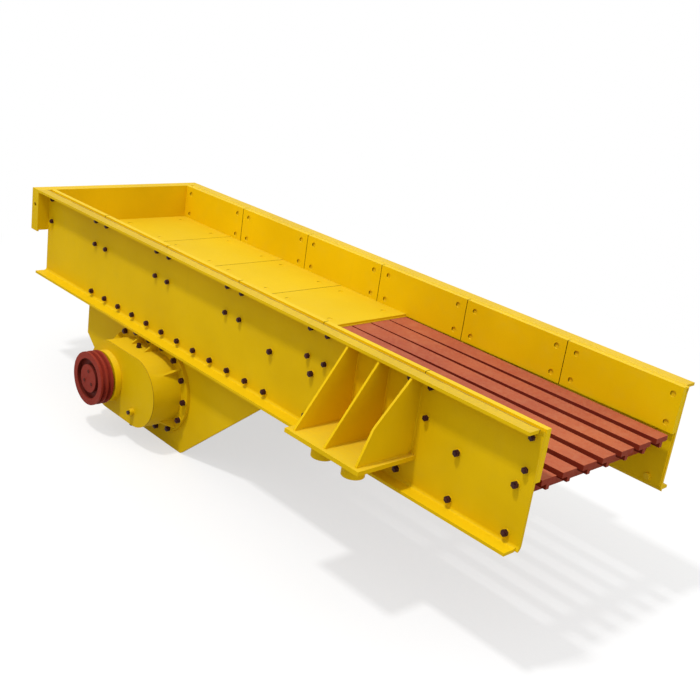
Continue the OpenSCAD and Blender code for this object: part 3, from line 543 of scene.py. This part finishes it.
def bracket_welds():
    """The gussets and base plates of the spring brackets are welded to the side plates."""
    rng = random.Random(41)
    mounts = {m["name"]: m for m in RECORD["mounts"]}
    half_gusset = 0.006
    corner_gap = 0.020
    base_t = 0.020
    base_lip = 0.030
    end_gap = 0.004
    for word, s in (("right", -1.0), ("left", 1.0)):
        rear = mounts["spring_spigot_%s_rear" % word]
        front = mounts["spring_spigot_%s_front" % word]
        pitch = front["pos_m"][0] - rear["pos_m"][0]
        mid = (front["pos_m"][0] + rear["pos_m"][0]) / 2
        under = rear["pos_m"][2] + rear["dims"]["length_mm"] / 2000
        top = under + base_t
        low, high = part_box("spring_bracket_%s" % word)
        reach = max(abs(low.y), abs(high.y)) - base_lip
        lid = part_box("side_plate_%s" % word)[1].z - SIDE_PLATE_T
        web = s * WEB_FACE
        for k in (-1, 0, 1):
            for side in (-1, 1):
                x = mid + k * pitch + side * half_gusset
                tag = "%s_%d%s" % (word, k + 2, "ab"[(side + 1) // 2])
                weld_bead("weld_web_" + tag, (x, web, top + corner_gap),
                          (x, web, lid - corner_gap), BEAD_R, rng)
                weld_bead("weld_base_" + tag, (x, web + s * corner_gap, top),
                          (x, s * reach, top), BASE_BEAD_R, rng)
        for place, z in (("top", top), ("low", under)):
            weld_bead("weld_plate_%s_%s" % (place, word), (low.x + end_gap, web, z),
                      (high.x - end_gap, web, z), BEAD_R, rng)


bracket_welds()


# ---------------------------------------------------------------- surroundings

WHITE = (1.0, 1.0, 1.0)
FLOOR_HALF = 40.0
FLOOR_GAP = 0.002
FLOOR_TONE = (0.34, 0.34, 0.34)
FLOOR_GLOW = 0.62
FLOOR_BOUNCE = ((0.40, 0.40, 0.40), (0.44, 0.44, 0.44))
FADE_FROM, FADE_TO = 2.6, 4.6
SKY_AT_HORIZON, SKY_OVERHEAD = 0.54, 0.94


def emission(tree, strength):
    node = tree.nodes.new("ShaderNodeEmission")
    set_socket(tree, node.inputs["Color"], WHITE)
    node.inputs["Strength"].default_value = strength
    return node.outputs[0]


def diffuse(tree, colour):
    node = tree.nodes.new("ShaderNodeBsdfDiffuse")
    set_socket(tree, node.inputs["Color"], colour)
    return node.outputs[0]


def mix_shaders(tree, fac, first, second):
    node = tree.nodes.new("ShaderNodeMixShader")
    for socket, output in zip(node.inputs, (fac, first, second)):
        tree.links.new(output, socket)
    return node.outputs[0]


def add_shaders(tree, first, second):
    node = tree.nodes.new("ShaderNodeAddShader")
    for socket, output in zip(node.inputs, (first, second)):
        tree.links.new(output, socket)
    return node.outputs[0]


def seen_directly(tree):
    """1 for rays that show the background: to the eye, in reflections and through glass."""
    path = tree.nodes.new("ShaderNodeLightPath")
    eye = maths(tree, "MAXIMUM", path.outputs["Is Camera Ray"],
                path.outputs["Is Transmission Ray"])
    return maths(tree, "MAXIMUM", eye, path.outputs["Is Glossy Ray"])


def floor_material():
    """Pale near the feeder, where it keeps the shadow, and plain white farther off."""
    mat = bpy.data.materials.new("studio_floor")
    mat.use_nodes = True
    tree = mat.node_tree
    tree.nodes.clear()
    out = tree.nodes.new("ShaderNodeOutputMaterial")
    pos = place_coords(tree)
    drift = noise_node(tree, pos, scale=3.0, detail=3.0, rough=0.5)
    bounce = ramp(tree, drift, list(zip((0.3, 0.7), FLOOR_BOUNCE)))
    near = add_shaders(tree, diffuse(tree, FLOOR_TONE), emission(tree, FLOOR_GLOW))
    distance = tree.nodes.new("ShaderNodeVectorMath")
    distance.operation = "LENGTH"
    tree.links.new(pos, distance.inputs[0])
    far = grey_ramp(tree, distance.outputs["Value"], FADE_FROM, FADE_TO)
    seen = mix_shaders(tree, far, near, emission(tree, 1.0))
    both = mix_shaders(tree, seen_directly(tree), diffuse(tree, bounce), seen)
    tree.links.new(both, out.inputs["Surface"])
    return mat


def studio_floor():
    bm = bmesh.new()
    bmesh.ops.create_grid(bm, x_segments=4, y_segments=4, size=FLOOR_HALF)
    mesh = bpy.data.meshes.new("studio_floor")
    bm.to_mesh(mesh)
    bm.free()
    ob = bpy.data.objects.new("studio_floor", mesh)
    bpy.context.scene.collection.objects.link(ob)
    ob.location = (0.0, 0.0, CAD_BOX[0].z - FLOOR_GAP)
    mesh.materials.append(floor_material())


def background(tree, strength):
    node = tree.nodes.new("ShaderNodeBackground")
    set_socket(tree, node.inputs["Color"], WHITE)
    set_socket(tree, node.inputs["Strength"], strength)
    return node.outputs[0]


def white_world():
    """Soft light from all round, more of it from overhead, and plain white to the eye."""
    world = bpy.data.worlds.new("studio")
    bpy.context.scene.world = world
    world.use_nodes = True
    tree = world.node_tree
    tree.nodes.clear()
    out = tree.nodes.new("ShaderNodeOutputWorld")
    way = tree.nodes.new("ShaderNodeTexCoord").outputs["Generated"]
    sky = grey_ramp(tree, axis_of(tree, way, "Z"), 0.0, 1.0, SKY_AT_HORIZON, SKY_OVERHEAD)
    both = mix_shaders(tree, seen_directly(tree), background(tree, sky),
                       background(tree, 1.0))
    tree.links.new(both, out.inputs["Surface"])


def square_light(name, where, size, watts):
    """A square area light that looks at the middle of the feeder."""
    middle = Vector((0.0, 0.0, 0.5))
    data = bpy.data.lights.new(name, "AREA")
    data.shape = "RECTANGLE"
    data.size = data.size_y = size
    data.energy = watts
    data.color = WHITE
    ob = bpy.data.objects.new(name, data)
    bpy.context.scene.collection.objects.link(ob)
    ob.location = where
    ob.rotation_mode = "QUATERNION"
    ob.rotation_quaternion = (middle - Vector(where)).to_track_quat("-Z", "Y")


def camera(where, turn, lens):
    """A camera at a place in metres, turned by degrees about X, Y and Z."""
    data = bpy.data.cameras.new("camera")
    data.sensor_width = 36.0
    data.lens = lens
    data.clip_start, data.clip_end = 0.1, 200.0
    data.dof.use_dof = False
    ob = bpy.data.objects.new("camera", data)
    bpy.context.scene.collection.objects.link(ob)
    ob.location = where
    ob.rotation_mode = "XYZ"
    ob.rotation_euler = Euler([math.radians(angle) for angle in turn])
    bpy.context.scene.camera = ob


studio_floor()
white_world()
# A high key lamp over the pulley side throws the shadow of the flange on the web.
square_light("key", where=(0.0, -6.4, 15.2), size=1.2, watts=1390.0)
square_light("front_fill", where=(9.0, 0.0, 4.0), size=4.0, watts=85.0)
# The photographer stood off the discharge end on the pulley side, a little above.
camera(where=(3.8625, -3.563, 2.538), turn=(70.33, -7.95, 47.30), lens=53.3)

bpy.context.scene.view_settings.view_transform = "Standard"
